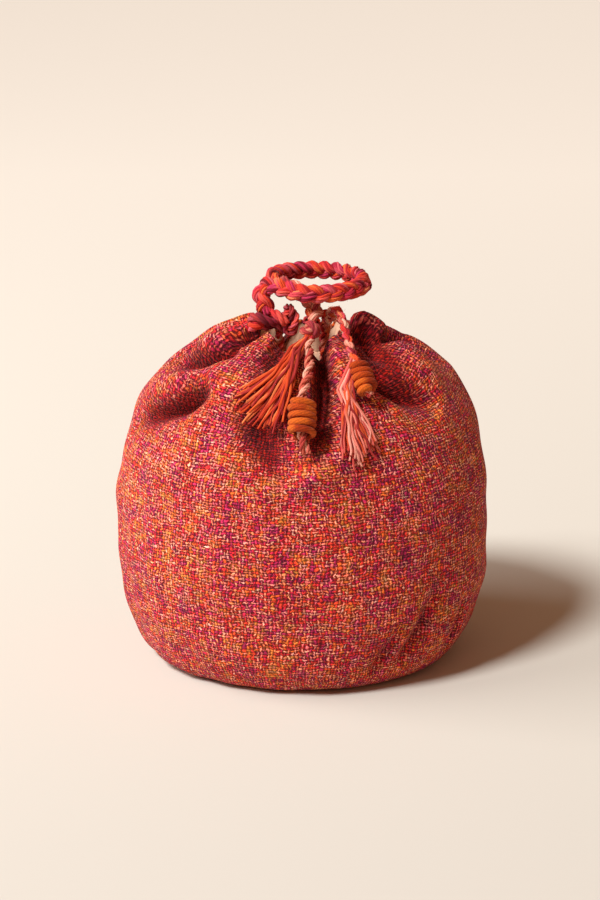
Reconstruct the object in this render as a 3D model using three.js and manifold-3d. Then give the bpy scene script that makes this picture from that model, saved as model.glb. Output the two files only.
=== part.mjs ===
// A potli: a round pouch of hand-woven cloth with a cotton lining, gathered on a drawstring,
// with a braided loop to carry it and two cord tails that end in yarn wraps and tassels.
// Millimetres, +Z up. The origin is the centre of the flat base, and the front looks along -Y.

import * as THREE from 'three';
import { mergeVertices } from 'three/addons/utils/BufferGeometryUtils.js';
import Module from 'manifold-3d';

const wasm = await Module();
wasm.setup();

// Sizes of the filled pouch
const BELLY_WIDTH = 200;
const BELLY_DEPTH = 176;
const BELLY_HEIGHT = 74;
const BASE_WIDTH = 134;
const BASE_FULLNESS = 2.5;
const DOME_RISE = 116;
const DOME_FULLNESS = 2.25;
const MOUTH_WIDTH = 54;

// How the edge of the mouth rises and falls around the bag
const FRONT_DIP = 6;
const BACK_DIP = 9;
const SIDE_RISE = 1;

// Thickness of the layers
const CLOTH = 1.4;
const LINING_CLOTH = 0.6;
const LAYER_GAP = 0.5;
const LINING_PEEP = 1.5;
const WALL_STRETCH = 2;

// Drawstring and the channel that holds it
const DRAWSTRING_DIAMETER = 6.4;
const CASING_CLOTH = 0.6;
const CASING_CLEARANCE = 1.0;
const CASING_DOWN = 8;
const CASING_SEAM = 0.35;
const CASING_START = -50;
const CASING_END = 46;

// Loop, tails and what hangs on them
const LOOP_DIAMETER = 9.5;
const LEFT_TAIL_DIAMETER = 5.6;
const LOOP_KNOT_LENGTH = 24;
const LOOP_KNOT_DIAMETER = 13;
const LOOP_KNOT_COILS = 5;
const CENTRE_KNOT_LENGTH = 10;
const CENTRE_KNOT_DIAMETER = 11;
const CENTRE_KNOT_COILS = 3;
const COIL_LEANS = [-90, -45, 0, 45];
const WRAP_YARN = 3.8;
const WRAP_PITCH = 4.2;
const WRAP_CLEARANCE = 0.4;
const LEFT_WRAP_TURNS = 4.3;
const RIGHT_WRAP_TURNS = 3.8;
const TASSEL_STRAND = 4.6;
const TASSEL_FLARE = 1.5;
const STRAND_BENDS = [0, 0.3, 0.65, 1];
const CORD_GAP = 0.3;

// Deep folds that start at the mouth: the angle from the front at the mouth and at the lower end,
// the distance down the cloth, the share of the full depth, and the half-width at the lower end.
const GATHER_DEPTH = 12;
const GATHER_WIDTH = 4.2;
const GATHERS = [
  { mouth: 18, foot: 6, reach: 98, share: 1.1, spread: 9 },
  { mouth: 40, foot: 60, reach: 84, share: 1.2, spread: 15 },
  { mouth: 62, foot: 61, reach: 40, share: 0.6, spread: 7 },
  { mouth: 86, foot: 89, reach: 62, share: 0.9, spread: 11 },
  { mouth: 120, foot: 124, reach: 78, share: 1.0, spread: 13 },
  { mouth: 158, foot: 152, reach: 68, share: 0.9, spread: 12 },
  { mouth: -163, foot: -158, reach: 84, share: 1.0, spread: 14 },
  { mouth: -124, foot: -119, reach: 70, share: 0.9, spread: 12 },
  { mouth: -88, foot: -92, reach: 58, share: 0.9, spread: 11 },
  { mouth: -50, foot: -52, reach: 30, share: 0.8, spread: 6 },
  { mouth: -18, foot: -20, reach: 44, share: 0.6, spread: 8 },
];

// A gather deepens by this share of its depth on the way down, keeps open, and closes near its lower end
const GATHER_SWELL = 0.8;
const GATHER_HOLD = 3;
const GATHER_CLOSE = 1.5;

// Shallow buckles away from the mouth, each between two places [angle from the front, distance down].
// A negative depth is a puff that stands proud.
const BUCKLES = [
  { from: [-42, 27], to: [-80, 56], depth: 9.5, width: 8 },
  { from: [-36, 54], to: [-80, 90], depth: 11, width: 8 },
  { from: [-54, 14], to: [-36, 90], depth: -3, width: 9 },
  { from: [-19, 58], to: [-2, 108], depth: 8, width: 9 },
  { from: [-6, 98], to: [28, 84], depth: -2.5, width: 10 },
  { from: [34, 212], to: [48, 160], depth: 3, width: 5 },
  { from: [58, 214], to: [62, 178], depth: 3.5, width: 4 },
];

// Routes of the free cords
const LOOP_ROUTE = [
  [-19.7, -17.6, 199], [-21.1, -16.9, 202], [-20.8, -15.6, 205.4], [-16.6, -17.2, 208.2], [-9.4, -22, 207.6],
  [-1.2, -26, 206.5], [7, -27.6, 206.3], [19.7, -24.1, 206.3], [29, -14.8, 206.3], [32.5, -2.1, 206.3],
  [29, 10.7, 206.3], [19.7, 19.9, 206.3], [7, 23.4, 206.3], [-5.7, 19.9, 206.5], [-14.2, 11.4, 206.7],
  [-16.4, 1.6, 206.9], [-12.6, -7, 206.6], [-5, -11.4, 205], [1.4, -12.6, 202], [5.2, -15.4, 198.4],
  [6.4, -19.6, 195.2], [5.8, -23, 192.8], [5.1, -25.7, 191.1],
];
const LEFT_TAIL_ROUTE = [
  [3.8, -34.4, 183.4], [3.4, -38.9, 181.3], [3.6, -44.1, 178.2], [3.7, -49.9, 174.8], [3.2, -55.6, 171.5],
  [1.8, -61.5, 168.3], [0.4, -66.9, 165.1], [0, -70.3, 161.3], [0, -72.9, 157.5], [0, -75.4, 153.7],
  [0, -77.9, 149.9], [0, -80.5, 146.2], [0.8, -81.9, 141.8], [2.2, -82.6, 137.4],
];
const RIGHT_TAIL_ROUTE = [
  [11.7, -11.4, 181.8], [12.3, -11.8, 186], [13.9, -13.7, 190.6], [16.6, -17.4, 194.1], [19.4, -22.3, 194.8],
  [21.4, -27.1, 191.5], [22.8, -32.3, 186.9], [24.2, -37.9, 183], [25.6, -43.2, 179.7], [27, -48.1, 177.5],
  [28.6, -51.3, 175], [31.2, -56.3, 169.4], [33.8, -61.4, 163.9], [34.6, -63, 162.2],
];
const DRAWSTRING_START = [
  [-12.2, -15.7, 183.5], [-11.6, -13.5, 178.3], [-11.2, -12.9, 171.3], [-12.8, -16.7, 163.8],
];
const DRAWSTRING_END = [
  [13.6, -17.1, 161.8], [11.6, -13.1, 167.9], [11.2, -11.6, 174.9], [11.6, -11.4, 181.2],
];

// Where the loose pieces sit
const LOOP_KNOT_CENTRE = new THREE.Vector3(-14.5, -18.1, 190.5);
const LOOP_KNOT_TURN = 8;
const LEFT_WRAP_INDEX = 9;
const RIGHT_WRAP_INDEX = 11;
const ORANGE_TASSEL = { apex: [-1.6, 13], hem: [[-33.6, 48], [-30.7, 64.6], [-9.5, 66.7]], strands: 7 };
const RIGHT_TASSEL = { apex: [21.9, 40.7], hem: [[20.4, 83.5], [29.5, 91.6], [39.4, 80.7]], strands: 6 };

// How finely the surfaces are divided
const COLUMNS = 64;
const CORNER_ROWS = 5;
const SIDE_ROWS = 4;
const FOLD_ROWS = 13;
const CORD_SIDES = 10;
const STRAND_SIDES = 6;
const KNOT_SIDES = 12;
const CASING_STEP = 15;
const LOOP_STEPS = 40;
const TAIL_STEPS = 20;
const STRAND_STEPS = 5;
const WRAP_TURN_STEPS = 12;
const PROFILE_STEPS = 600;
const BELLY_SHARE = 0.4;
const NORMAL_TURN = 0.004;
const NORMAL_STEP = 0.2;

// Distances up the cloth from the edge of the base, where the tight corner ends and where the folds begin
const CORNER_END = 28;
const FOLDS_START = 124;

const FULL_TURN = Math.PI * 2;
const BELLY_RADIUS = BELLY_WIDTH / 2;
const BASE_RADIUS = BASE_WIDTH / 2;
const MOUTH_RADIUS = MOUTH_WIDTH / 2;
const DEPTH_RATIO = BELLY_DEPTH / BELLY_WIDTH;
const LINING_INSET = CLOTH + LAYER_GAP;
const CASING_RADIUS = DRAWSTRING_DIAMETER / 2 + CASING_CLEARANCE + CASING_CLOTH;

const { clamp, degToRad, lerp, smoothstep } = THREE.MathUtils;

// Outline of the filled bag, from the edge of the flat base, round the belly and over the dome to the mouth
class PouchProfile extends THREE.Curve {
  constructor() {
    super();
    this.arcLengthDivisions = PROFILE_STEPS;
    this.bellyShare = BELLY_SHARE;
    this.basePower = 2 / BASE_FULLNESS;
    this.power = 2 / DOME_FULLNESS;
    this.mouthTurn = Math.acos((MOUTH_RADIUS / BELLY_RADIUS) ** (1 / this.power));
  }

  getPoint(t, target = new THREE.Vector2()) {
    if (t < this.bellyShare) {
      const turn = (t / this.bellyShare) * (Math.PI / 2);
      const radius = lerp(BASE_RADIUS, BELLY_RADIUS, Math.sin(turn) ** this.basePower);
      return target.set(radius, BELLY_HEIGHT * (1 - Math.abs(Math.cos(turn)) ** this.basePower));
    }
    const turn = ((t - this.bellyShare) / (1 - this.bellyShare)) * this.mouthTurn;
    const radius = BELLY_RADIUS * Math.cos(turn) ** this.power;
    return target.set(radius, BELLY_HEIGHT + DOME_RISE * Math.sin(turn) ** this.power);
  }
}

const profile = new PouchProfile();
const PROFILE_LENGTH = profile.getLength();
const MOUTH_HEIGHT = profile.getPoint(1).y;

function profileAt(down) {
  return profile.getPointAt(clamp(1 - down / PROFILE_LENGTH, 0, 1));
}

// Rise of the mouth's edge at an angle from the front
function mouthRise(angle) {
  const dips = -(FRONT_DIP + BACK_DIP) / 2;
  const mean = (dips + SIDE_RISE) / 2;
  const saddle = (dips - SIDE_RISE) / 2;
  const tilt = (BACK_DIP - FRONT_DIP) / 2;
  return mean + saddle * Math.cos(2 * angle) + tilt * Math.cos(angle);
}

// The bag without its folds: the surface that the tops of the folds reach
function envelopePoint(angle, down) {
  const { x: radius, y: height } = profileAt(down);
  const share = smoothstep(height, BELLY_HEIGHT, MOUTH_HEIGHT);
  return new THREE.Vector3(
    radius * Math.sin(angle),
    -radius * Math.cos(angle) * DEPTH_RATIO,
    height + mouthRise(angle) * share,
  );
}

// Outward direction of a surface that is given by angle and distance down
function surfaceNormal(surface, angle, down) {
  const above = Math.max(down - NORMAL_STEP, 0);
  const below = Math.min(down + NORMAL_STEP, PROFILE_LENGTH);
  const around = surface(angle + NORMAL_TURN, down).sub(surface(angle - NORMAL_TURN, down));
  const up = surface(angle, above).sub(surface(angle, below));
  return around.cross(up).normalize();
}

function gatherCrease({ mouth, foot, reach, share, spread }) {
  return {
    from: [degToRad(mouth), 0],
    to: [degToRad(foot), reach],
    depth: GATHER_DEPTH * share,
    widths: [GATHER_WIDTH, spread],
    fade: (t) => (1 + GATHER_SWELL * t) * (1 - t ** GATHER_HOLD) ** GATHER_CLOSE,
  };
}

function buckleCrease({ from, to, depth, width }) {
  return {
    from: [degToRad(from[0]), from[1]],
    to: [degToRad(to[0]), to[1]],
    depth,
    widths: [width, width],
    fade: (t) => Math.sin(t * Math.PI),
  };
}

const CREASES = [...GATHERS.map(gatherCrease), ...BUCKLES.map(buckleCrease)];

function creaseDepth(crease, angle, down, radius) {
  const turned = angle - crease.from[0];
  const across = (turned - FULL_TURN * Math.round(turned / FULL_TURN)) * radius;
  const along = down - crease.from[1];
  const runAcross = (crease.to[0] - crease.from[0]) * radius;
  const runAlong = crease.to[1] - crease.from[1];
  const t = clamp((across * runAcross + along * runAlong) / (runAcross ** 2 + runAlong ** 2), 0, 1);
  const off = Math.hypot(across - t * runAcross, along - t * runAlong);
  const width = lerp(crease.widths[0], crease.widths[1], t);
  return crease.depth * crease.fade(t) * Math.exp(-((off / width) ** 2));
}

// Depth of the folds at a place: where valleys meet, the deeper one rules
function foldDepth(angle, down) {
  const radius = profileAt(down).x;
  let valleys = 0;
  let puffs = 0;
  for (const crease of CREASES) {
    const depth = creaseDepth(crease, angle, down, radius);
    valleys += Math.max(depth, 0) ** 3;
    puffs += Math.min(depth, 0);
  }
  return Math.cbrt(valleys) + puffs;
}

function clothPoint(angle, down) {
  const inward = surfaceNormal(envelopePoint, angle, down).multiplyScalar(-foldDepth(angle, down));
  return envelopePoint(angle, down).add(inward);
}

// Depth of a layer inside the cloth: more on the walls of a fold, so that the layer keeps its thickness there
function layerDepth(angle, down, inset) {
  const outward = surfaceNormal(envelopePoint, angle, down);
  const steepness = 1 / outward.dot(surfaceNormal(clothPoint, angle, down));
  return foldDepth(angle, down) + inset * Math.min(steepness, WALL_STRETCH);
}

function layerPoint(angle, down, inset) {
  const inward = surfaceNormal(envelopePoint, angle, down).multiplyScalar(-layerDepth(angle, down, inset));
  return envelopePoint(angle, down).add(inward);
}

// Rows of the cloth from the edge of the base up to the rim, shared by the layers so that they nest
function clothRows() {
  const rim = PROFILE_LENGTH - LINING_PEEP;
  const ups = [
    ...evenSteps(0, CORNER_END, CORNER_ROWS),
    ...evenSteps(CORNER_END, FOLDS_START, SIDE_ROWS),
    ...evenSteps(FOLDS_START, rim, FOLD_ROWS),
    rim,
  ];
  return ups.map((up) => PROFILE_LENGTH - up);
}

// Evenly spaced values that start at the first one and stop short of the last
function evenSteps(first, last, count) {
  const values = [];
  for (let step = 0; step < count; step += 1) {
    values.push(lerp(first, last, step / count));
  }
  return values;
}

// A bag of cloth: a lathed skin whose points are then laid on the folded surface.
// Its rows run from the middle of the base up to the edge, and back down inside.
function clothBag(downs, inset, thickness) {
  const outside = downs.map((down) => ({ down, inset }));
  const inside = downs.map((down) => ({ down, inset: inset + thickness })).reverse();
  const rows = [...outside, ...inside];
  const outline = rows.map(({ down }) => profileAt(down));
  outline.unshift(new THREE.Vector2(0, 0));
  outline.push(new THREE.Vector2(0, thickness));
  const geometry = new THREE.LatheGeometry(outline, COLUMNS);
  layOnFolds(geometry, rows, outline.length);
  geometry.setIndex(nestedTriangles([PROFILE_LENGTH, ...rows.map(({ down }) => down), PROFILE_LENGTH]));
  return geometry;
}

// The lathe's triangles. Each square is cut along the diagonal that follows the fold, inside as outside,
// so that the layers keep their thickness.
function nestedTriangles(downs) {
  const triangles = [];
  for (let column = 0; column < COLUMNS; column += 1) {
    for (let row = 0; row < downs.length - 1; row += 1) {
      const a = column * downs.length + row;
      const b = a + downs.length;
      const rising = downs[row] > downs[row + 1];
      if (rising === leansForward(column, downs[row], downs[row + 1])) {
        triangles.push(a, b, a + 1, b + 1, a + 1, b);
      } else {
        triangles.push(a, b, b + 1, a, b + 1, a + 1);
      }
    }
  }
  return triangles;
}

function columnAngle(column) {
  return ((column % COLUMNS) / COLUMNS) * FULL_TURN;
}

// Whether the diagonal from this column's upper corner to the next one's lower corner follows the fold better
function leansForward(column, firstDown, secondDown) {
  const upper = Math.min(firstDown, secondDown);
  const lower = Math.max(firstDown, secondDown);
  const start = columnAngle(column);
  const end = columnAngle(column + 1);
  const middle = foldDepth(columnAngle(column + 0.5), (upper + lower) / 2);
  const forward = (foldDepth(start, upper) + foldDepth(end, lower)) / 2;
  const backward = (foldDepth(end, upper) + foldDepth(start, lower)) / 2;
  return Math.abs(forward - middle) <= Math.abs(backward - middle);
}

function layOnFolds(geometry, rows, rowCount) {
  const position = geometry.getAttribute('position');
  for (let column = 0; column <= COLUMNS; column += 1) {
    const angle = columnAngle(column);
    const first = column * rowCount;
    position.setXYZ(first, 0, 0, rows.at(0).inset);
    position.setXYZ(first + rowCount - 1, 0, 0, rows.at(-1).inset);
    rows.forEach(({ down, inset }, row) => {
      const { x, y, z } = layerPoint(angle, down, inset);
      position.setXYZ(first + row + 1, x, y, z);
    });
  }
}

function routeCurve(points) {
  return new THREE.CatmullRomCurve3(points.map((point) => new THREE.Vector3(...point)));
}

function roundSection(diameter) {
  return new THREE.Shape().absarc(0, 0, diameter / 2, 0, FULL_TURN);
}

function cordAlong(curve, diameter, steps, sides = CORD_SIDES) {
  return new THREE.ExtrudeGeometry(roundSection(diameter), {
    steps,
    bevelEnabled: false,
    extrudePath: curve,
    curveSegments: sides / 2,
  });
}

// Depth of the lining's deepest fold around the bag at a distance down
function deepestFold(down) {
  const angles = evenSteps(0, FULL_TURN, COLUMNS);
  return Math.max(...angles.map((angle) => layerDepth(angle, down, LINING_INSET + LINING_CLOTH)));
}

const CASING_DEPTH = deepestFold(CASING_DOWN) + LAYER_GAP + CASING_RADIUS;

// Middle of the drawstring's channel, which hangs below the bottoms of the gathers
function casingPoint(angle) {
  const inward = surfaceNormal(envelopePoint, angle, CASING_DOWN).multiplyScalar(-CASING_DEPTH);
  return envelopePoint(angle, CASING_DOWN).add(inward).toArray();
}

function casingRoute() {
  const points = [];
  for (let degrees = CASING_START; degrees >= CASING_END - 360; degrees -= CASING_STEP) {
    points.push(casingPoint(degToRad(degrees)));
  }
  return points;
}

// The channel's section is a tube of cloth that stays open along its seam
function casingSection() {
  const inner = DRAWSTRING_DIAMETER / 2 + CASING_CLEARANCE;
  const section = new THREE.Shape();
  section.absarc(0, 0, CASING_RADIUS, CASING_SEAM, FULL_TURN - CASING_SEAM, false);
  section.absarc(0, 0, inner, FULL_TURN - CASING_SEAM, CASING_SEAM, true);
  section.closePath();
  return section;
}

function casing() {
  const route = casingRoute();
  return new THREE.ExtrudeGeometry(casingSection(), {
    steps: route.length,
    bevelEnabled: false,
    extrudePath: routeCurve(route),
    curveSegments: CORD_SIDES / 2,
  });
}

function drawstring() {
  const route = [...DRAWSTRING_START, ...casingRoute(), ...DRAWSTRING_END];
  return cordAlong(routeCurve(route), DRAWSTRING_DIAMETER, route.length);
}

// A knot as turns of cord wound side by side round a core, along the +Y axis and centred on the origin
function barrelKnot(length, diameter, turns) {
  const pitch = length / turns;
  const core = (diameter - pitch) / 2;
  const outline = [new THREE.Vector2(0, -length / 2)];
  for (let turn = 0; turn < turns; turn += 1) {
    const middle = (turn + 0.5) * pitch - length / 2;
    for (const lean of COIL_LEANS) {
      const reach = pitch / 2;
      const bulge = core + Math.cos(degToRad(lean)) * reach;
      outline.push(new THREE.Vector2(bulge, middle + Math.sin(degToRad(lean)) * reach));
    }
  }
  outline.push(new THREE.Vector2(core, length / 2), new THREE.Vector2(0, length / 2));
  return new THREE.LatheGeometry(outline, KNOT_SIDES);
}

// Yarn wound round a tail, along the +Z axis and centred on the origin
class WrapHelix extends THREE.Curve {
  constructor(radius, turns) {
    super();
    this.radius = radius;
    this.turns = turns;
  }

  getPoint(t, target = new THREE.Vector3()) {
    const angle = t * this.turns * FULL_TURN;
    const rise = (t - 0.5) * this.turns * WRAP_PITCH;
    return target.set(this.radius * Math.cos(angle), this.radius * Math.sin(angle), rise);
  }
}

function yarnWrap(tailDiameter, turns) {
  const radius = tailDiameter / 2 + WRAP_CLEARANCE + WRAP_YARN / 2;
  const steps = Math.round(turns * WRAP_TURN_STEPS);
  return cordAlong(new WrapHelix(radius, turns), WRAP_YARN, steps, STRAND_SIDES);
}

// A point above the front of the bag, where a strand bridges the valleys and clears the puffs
function frontPoint(across, down, lift) {
  const angle = Math.asin(across / profileAt(down).x);
  const puff = Math.max(-foldDepth(angle, down), 0);
  return envelopePoint(angle, down).addScaledVector(surfaceNormal(envelopePoint, angle, down), lift + puff);
}

function tasselStrand([apexAcross, apexDown], hemPlace) {
  const lift = TASSEL_STRAND / 2 + CORD_GAP;
  const points = STRAND_BENDS.map((share) => {
    const across = lerp(apexAcross, hemPlace.x, share ** TASSEL_FLARE);
    return frontPoint(across, lerp(apexDown, hemPlace.y, share), lift);
  });
  return cordAlong(new THREE.CatmullRomCurve3(points), TASSEL_STRAND, STRAND_STEPS, STRAND_SIDES);
}

// A tassel is a fan of strands that are joined at the top and end along a curved hem
function tassel({ apex, hem, strands }) {
  const hemCurve = new THREE.QuadraticBezierCurve(...hem.map((place) => new THREE.Vector2(...place)));
  let bundle = null;
  for (let strand = 0; strand < strands; strand += 1) {
    const solid = solidOf(tasselStrand(apex, hemCurve.getPoint(strand / (strands - 1))));
    bundle = bundle ? bundle.add(solid) : solid;
  }
  return geometryOf(bundle);
}

function solidOf(geometry) {
  const plain = geometry.clone();
  plain.deleteAttribute('normal');
  plain.deleteAttribute('uv');
  const merged = mergeVertices(plain);
  return new wasm.Manifold(new wasm.Mesh({
    numProp: 3,
    vertProperties: new Float32Array(merged.getAttribute('position').array),
    triVerts: new Uint32Array(merged.getIndex().array),
  }));
}

function geometryOf(solid) {
  const { vertProperties, triVerts, numProp } = solid.getMesh();
  const geometry = new THREE.BufferGeometry();
  const vertices = new THREE.InterleavedBuffer(vertProperties, numProp);
  geometry.setAttribute('position', new THREE.InterleavedBufferAttribute(vertices, 3, 0));
  geometry.setIndex(new THREE.BufferAttribute(triVerts, 1));
  return geometry;
}

const potli = new THREE.Group();

function addPiece(name, geometry, finish) {
  const mesh = new THREE.Mesh(geometry, new THREE.MeshStandardMaterial({ ...finish, metalness: 0 }));
  mesh.name = name;
  potli.add(mesh);
  return mesh;
}

// Turns a piece that was made along one axis so that it lies along a direction, at a place
function placeAlong(mesh, axis, place, direction) {
  mesh.quaternion.setFromUnitVectors(axis, direction.clone().normalize());
  mesh.position.copy(place);
}

// Puts a wrap round its tail, at one of the points of the tail's route
function placeOnRoute(mesh, route, index) {
  const direction = new THREE.Vector3(...route[index + 1]).sub(new THREE.Vector3(...route[index - 1]));
  placeAlong(mesh, Z_AXIS, new THREE.Vector3(...route[index]), direction);
}

const WOVEN = { color: 0xc24a40, roughness: 0.95 };
const COTTON = { color: 0xeadac2, roughness: 0.95 };
const BRAID = { color: 0xb64440, roughness: 0.9 };
const MUSTARD = { color: 0xcd7f22, roughness: 0.9 };
const ORANGE = { color: 0xd8662c, roughness: 0.9 };
const PINK = { color: 0xdc8d7a, roughness: 0.9 };
const Y_AXIS = new THREE.Vector3(0, 1, 0);
const Z_AXIS = new THREE.Vector3(0, 0, 1);

// Pouch, lining and drawstring
addPiece('outer_pouch', clothBag(clothRows(), 0, CLOTH), WOVEN);
addPiece('lining', clothBag([...clothRows(), 0], LINING_INSET, LINING_CLOTH), COTTON);
addPiece('casing', casing(), COTTON);
addPiece('drawstring', drawstring(), BRAID);

// Loop and the two knots
const loopKnotShape = barrelKnot(LOOP_KNOT_LENGTH, LOOP_KNOT_DIAMETER, LOOP_KNOT_COILS);
const loopKnot = addPiece('loop_knot', loopKnotShape, BRAID);
const loopKnotAxis = new THREE.Vector3(1, 0, 0).applyAxisAngle(Z_AXIS, -degToRad(LOOP_KNOT_TURN));
placeAlong(loopKnot, Y_AXIS, LOOP_KNOT_CENTRE, loopKnotAxis);
addPiece('loop_cord', cordAlong(routeCurve(LOOP_ROUTE), LOOP_DIAMETER, LOOP_STEPS), BRAID);

const dropEnd = new THREE.Vector3(...LOOP_ROUTE.at(-1));
const leftTailStart = new THREE.Vector3(...LEFT_TAIL_ROUTE[0]);
const centreKnotPlace = dropEnd.clone().add(leftTailStart).divideScalar(2);
const centreKnotShape = barrelKnot(CENTRE_KNOT_LENGTH, CENTRE_KNOT_DIAMETER, CENTRE_KNOT_COILS);
const centreKnot = addPiece('centre_knot', centreKnotShape, BRAID);
placeAlong(centreKnot, Y_AXIS, centreKnotPlace, leftTailStart.clone().sub(dropEnd));

// Left tail with its wrap, and the orange tassel beside it
addPiece('left_tail', cordAlong(routeCurve(LEFT_TAIL_ROUTE), LEFT_TAIL_DIAMETER, TAIL_STEPS), PINK);
const leftWrap = addPiece('left_wrap', yarnWrap(LEFT_TAIL_DIAMETER, LEFT_WRAP_TURNS), MUSTARD);
placeOnRoute(leftWrap, LEFT_TAIL_ROUTE, LEFT_WRAP_INDEX);
addPiece('orange_tassel', tassel(ORANGE_TASSEL), ORANGE);

// Right tail with its wrap and fringe
addPiece('right_tail', cordAlong(routeCurve(RIGHT_TAIL_ROUTE), DRAWSTRING_DIAMETER, TAIL_STEPS), PINK);
const rightWrap = addPiece('right_wrap', yarnWrap(DRAWSTRING_DIAMETER, RIGHT_WRAP_TURNS), MUSTARD);
placeOnRoute(rightWrap, RIGHT_TAIL_ROUTE, RIGHT_WRAP_INDEX);
addPiece('right_tassel', tassel(RIGHT_TASSEL), PINK);

export default potli;
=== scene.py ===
import math

import bpy
import numpy as np
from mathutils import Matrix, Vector


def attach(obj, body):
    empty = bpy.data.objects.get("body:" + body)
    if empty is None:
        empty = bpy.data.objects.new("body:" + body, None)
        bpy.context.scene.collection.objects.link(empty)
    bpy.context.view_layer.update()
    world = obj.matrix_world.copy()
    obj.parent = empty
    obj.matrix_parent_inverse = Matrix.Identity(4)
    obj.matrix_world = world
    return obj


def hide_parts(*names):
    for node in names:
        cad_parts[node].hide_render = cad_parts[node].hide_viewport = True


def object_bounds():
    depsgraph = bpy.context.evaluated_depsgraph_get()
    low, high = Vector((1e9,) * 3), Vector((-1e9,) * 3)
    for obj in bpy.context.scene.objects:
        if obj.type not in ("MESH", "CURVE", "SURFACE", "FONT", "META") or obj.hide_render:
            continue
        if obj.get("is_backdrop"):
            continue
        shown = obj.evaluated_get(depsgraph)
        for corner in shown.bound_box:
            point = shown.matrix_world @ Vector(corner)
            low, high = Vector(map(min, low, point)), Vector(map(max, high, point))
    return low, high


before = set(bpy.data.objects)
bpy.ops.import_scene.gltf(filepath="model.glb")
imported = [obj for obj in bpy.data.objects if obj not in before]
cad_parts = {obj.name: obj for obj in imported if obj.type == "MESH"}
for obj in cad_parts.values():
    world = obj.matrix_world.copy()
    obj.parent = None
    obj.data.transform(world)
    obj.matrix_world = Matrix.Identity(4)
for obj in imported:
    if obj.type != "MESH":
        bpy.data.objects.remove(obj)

# Looks of the potli bag. Lengths are in metres. Angles round the bag are in degrees from the front
# towards +X, and "down" is the distance down the cloth from the top of the profile at the mouth.
CAD_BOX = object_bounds()
RANDOM = np.random.default_rng(7)
FULL_TURN = 2 * math.pi

# Pouch without its folds
BELLY_WIDTH = 0.2
BELLY_DEPTH = 0.176
BELLY_HEIGHT = 0.074
BASE_WIDTH = 0.134
BASE_FULLNESS = 2.5
DOME_RISE = 0.116
DOME_FULLNESS = 2.25
MOUTH_WIDTH = 0.054
FRONT_DIP = 0.006
BACK_DIP = 0.009
SIDE_RISE = 0.001

# Gathers run down from the mouth: angle at the mouth, angle at the foot, reach, share of the depth, spread
GATHER_DEPTH = 0.012
GATHER_WIDTH = 0.004
GATHER_SWELL = 0.8
GATHERS = [
    (16, 3, 0.092, 1.2, 0.008),
    (60, 35, 0.050, 0.8, 0.007),
    (86, 89, 0.062, 0.9, 0.011),
    (120, 124, 0.078, 1.0, 0.013),
    (158, 152, 0.068, 0.9, 0.012),
    (-163, -158, 0.084, 1.0, 0.014),
    (-124, -119, 0.070, 0.9, 0.012),
    (-88, -92, 0.058, 0.9, 0.011),
    (-50, -52, 0.030, 0.8, 0.006),
    (-18, -20, 0.044, 0.6, 0.008),
]
# Buckles lie across the cloth: start (angle, down), end (angle, down), depth, width.
# A negative depth is a puff.
BUCKLES = [
    ((-52, 0.012), (-34, 0.088), -0.0035, 0.010),
    ((-22, 0.046), (-5, 0.100), 0.011, 0.010),
    ((-6, 0.103), (23, 0.074), -0.005, 0.009),
    ((60, 0.005), (88, 0.014), -0.008, 0.012),
    ((43, 0.014), (52, 0.050), -0.006, 0.005),
    ((70, 0.026), (56, 0.095), -0.004, 0.015),
    ((98, 0.032), (94, 0.120), -0.004, 0.020),
    ((32, 0.040), (43, 0.070), -0.003, 0.004),
    ((34, 0.208), (48, 0.156), 0.0045, 0.005),
    ((58, 0.210), (62, 0.174), 0.0045, 0.004),
    ((24, 0.212), (33, 0.178), 0.0035, 0.004),
]
# Creases whose upper lip hangs over them: start (angle, down), end (angle, down), depth, width,
# how far the lip slides
LIPS = [
    ((-46, 0.019), (-86, 0.052), 0.018, 0.0080, 0.006),
    ((-42, 0.048), (-84, 0.090), 0.016, 0.0085, 0.006),
    ((55, 0.000), (65, 0.030), 0.010, 0.0045, 0.0),
    ((60, 0.019), (100, 0.024), 0.010, 0.0050, 0.004),
    ((33, 0.031), (60, 0.072), 0.016, 0.0080, 0.006),
    ((58, 0.004), (38, 0.056), 0.0145, 0.0115, 0.0),
]
# Share of its crease's depth by which a lip puffs out, and how much wider than the crease the puff is
LIP_PUFF = 0.2
PUFF_WIDTH = 1.3
# Share of the cloth in the folds that pulls the threads along, eased over this many columns a side
THREAD_EXCESS = 0.2
EXCESS_BLUR = 20
# Share of the painted shade at the bottom of a gather and of a buckle, and how soon a fold takes it all
GATHER_SHADE = 0.7
BUCKLE_SHADE = 0.9
SHADE_GAIN = 2.0
# A buckle that is less deep than this takes less of the painted shade
SHADE_DEPTH = 0.011
# Roundness of a fold's section, and how far a buckle's deepest place leans to its start
FOLD_POWER = 1.6
BUCKLE_LEAN = 0.65
# Fine pleats near the mouth, and soft lumps of several wave lengths all over
PLEAT_COUNT = 37
PLEAT_DEPTH = 0.0007
PLEAT_REACH = 0.02
PLEAT_SLANT = 0.02
LUMP_HEIGHT = 0.00035
LUMP_WAVES = (0.021, 0.027, 0.034, 0.045, 0.06, 0.08)
# Lengths of the side above the base over which the wrinkles end, and the folds
BASE_CALM = 0.02
BASE_EASE = 0.004

# Cloth layers. The woven rim lies this far down.
RIM_DOWN = 0.0012
# The rim dips at the front: angle, how far down. The lining peeps out there.
RIM_DIPS = [
    (-42, 0.0), (-26, 0.003), (-12, 0.004), (-4, 0.003), (6, 0.003), (17, 0.004), (34, 0.003), (46, 0.0),
]
# The lining's edge dips this much less
LINING_PEEP = 0.0026
CLOTH = 0.0018
LINING_INSET = 0.0026
LINING_GAP = 0.0002
LINING_DOWN = 0.0018
LINING_CLOTH = 0.0006
LINING_ROWS = 70
LINING_COLUMNS = 320
WARP_PITCH = 0.002
WEFT_PITCH = 0.0017
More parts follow.
